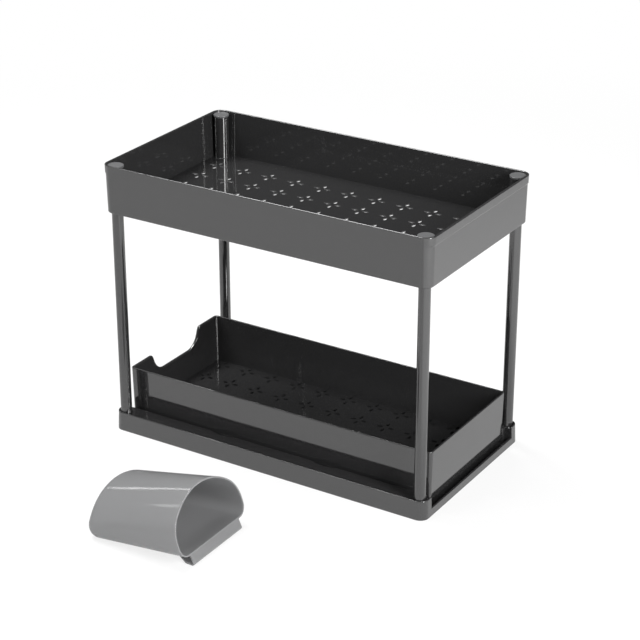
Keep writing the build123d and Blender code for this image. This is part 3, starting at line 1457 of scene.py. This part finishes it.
@dataclass(frozen=True)
class Studio:
    """Floor, surroundings, lamps and camera."""

    floor_half: float = 6.0
    floor_drop: float = 0.0002
    sky_low: float = 0.2
    sky_high: float = 0.35
    mirrored_low: float = 0.1
    mirrored_high: float = 1.5
    ceiling_from: float = 0.68
    ceiling_to: float = 0.84
    camera_place: tuple[float, float, float] = (1.0132, -1.6200, 1.0096)
    camera_turn: float = 31.88
    camera_height: float = 24.56
    lens: float = 110.76
    sensor: float = 36.0
    lamps: tuple[Softbox, ...] = (
        Softbox("top_softbox", (-0.62, 0.1, 1.5), (-0.3, 0.0, 0.1), (0.8, 0.6), power=25.0),
        Softbox("right_softbox", (1.534, -0.51, 0.9), (-0.18, 0.09, 0.15), (0.4, 0.8), power=36.0),
        Softbox("cup_strip", (-1.16, 0.37, 0.85), (-0.02, -0.24, 0.06), (0.3, 0.05), power=0.45),
        Softbox("cup_strip_low", (-1.15, -0.44, 1.03), (0.0, -0.25, 0.05), (0.14, 0.05), power=0.12),
        Softbox(
            "left_softbox", (-1.0, -1.7, 1.0), (0.0, 0.0, 0.1), (0.9, 1.2), power=16.0, mirrored=False
        ),
    )

    def floor(self) -> None:
        """Add the floor."""
        half = self.floor_half
        places = ((-half, -half), (half, -half), (half, half), (-half, half))
        corners = [Vector((*place, -self.floor_drop)) for place in places]
        data = bpy.data.meshes.new("studio_floor")
        data.from_pydata(corners, [], [range(len(corners))])
        floor = bpy.data.objects.new("studio_floor", data)
        data.materials.append(FloorFinish().material())
        bpy.context.scene.collection.objects.link(floor)

    def sky(self) -> None:
        """Light the scene dimly all round, with a ceiling for mirrors and plain white behind it."""
        world = bpy.data.worlds.new("studio")
        bpy.context.scene.world = world
        nodes = empty_bench(world)
        way = nodes.add("ShaderNodeTexCoord", output="Generated")
        height = nodes.add("ShaderNodeSeparateXYZ", inputs={0: way}, output="Z")
        plain = height.largest(0.0) * (self.sky_high - self.sky_low) + self.sky_low
        ceiling = nodes.ease(height, self.ceiling_from, self.ceiling_to)
        gloss = ceiling * (self.mirrored_high - self.mirrored_low) + self.mirrored_low
        mirrored = nodes.ray(Ray.MIRRORED)
        strength = plain * (1.0 - mirrored) + gloss * mirrored
        light = nodes.add("ShaderNodeBackground", inputs={"Color": WHITE, "Strength": strength})
        behind = nodes.add("ShaderNodeBackground", inputs={"Color": WHITE, "Strength": 1.0})
        mixed = nodes.add("ShaderNodeMixShader", inputs={0: nodes.background_rays(), 1: light, 2: behind})
        nodes.add("ShaderNodeOutputWorld", inputs={"Surface": mixed})

    def camera(self) -> None:
        """Add the camera."""
        turn, up = math.radians(self.camera_turn), math.radians(self.camera_height)
        back = Vector((math.sin(turn) * math.cos(up), -math.cos(turn) * math.cos(up), math.sin(up)))
        data = bpy.data.cameras.new("camera")
        data.lens = self.lens
        data.sensor_width = self.sensor
        camera = bpy.data.objects.new("camera", data)
        camera.location = self.camera_place
        camera.rotation_euler = (-back).to_track_quat("-Z", "Y").to_euler()
        bpy.context.scene.collection.objects.link(camera)
        bpy.context.scene.camera = camera
        bpy.context.scene.view_settings.view_transform = "Standard"

    def build(self) -> None:
        """Set up the whole studio."""
        self.floor()
        self.sky()
        for lamp in self.lamps:
            lamp.build()
        self.camera()


# The whole scene


FINISHES = (
    Plastic(
        Slot.DARK,
        (0.023, 0.0229, 0.0233),
        colour_spread=0.06,
        roughness=0.055,
        roughness_spread=0.015,
        gloss_index=1.8,
    ),
    Plastic(
        Slot.POST,
        (0.022, 0.0219, 0.0223),
        colour_spread=0.06,
        roughness=0.07,
        roughness_spread=0.015,
        gloss_index=1.8,
    ),
    Plastic(
        Slot.CAP,
        (0.1, 0.101, 0.103),
        colour_spread=0.03,
        roughness=0.3,
        roughness_spread=0.03,
        gloss_index=1.5,
    ),
    Plastic(
        Slot.CUP,
        (0.4, 0.401, 0.406),
        colour_spread=0.03,
        roughness=0.07,
        roughness_spread=0.02,
        gloss_index=1.55,
        see_through=0.56,
    ),
)


def main() -> None:
    """Build every piece, dress it and set up the studio."""
    logging.basicConfig(level=logging.INFO, format="%(name)s: %(message)s")
    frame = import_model()
    for finish in FINISHES:
        finish.material()
    layout = Layout()
    drains = DrainPattern()
    TopTray(layout=layout, drains=drains).build()
    Posts(layout).build()
    EndCaps(layout).build()
    BaseTray().build(frame["nodes"]["base_tray"])
    SlidingDrawer(drains=drains).build()
    HangingCup().build()
    Studio().build()


if __name__ == "__main__":
    main()
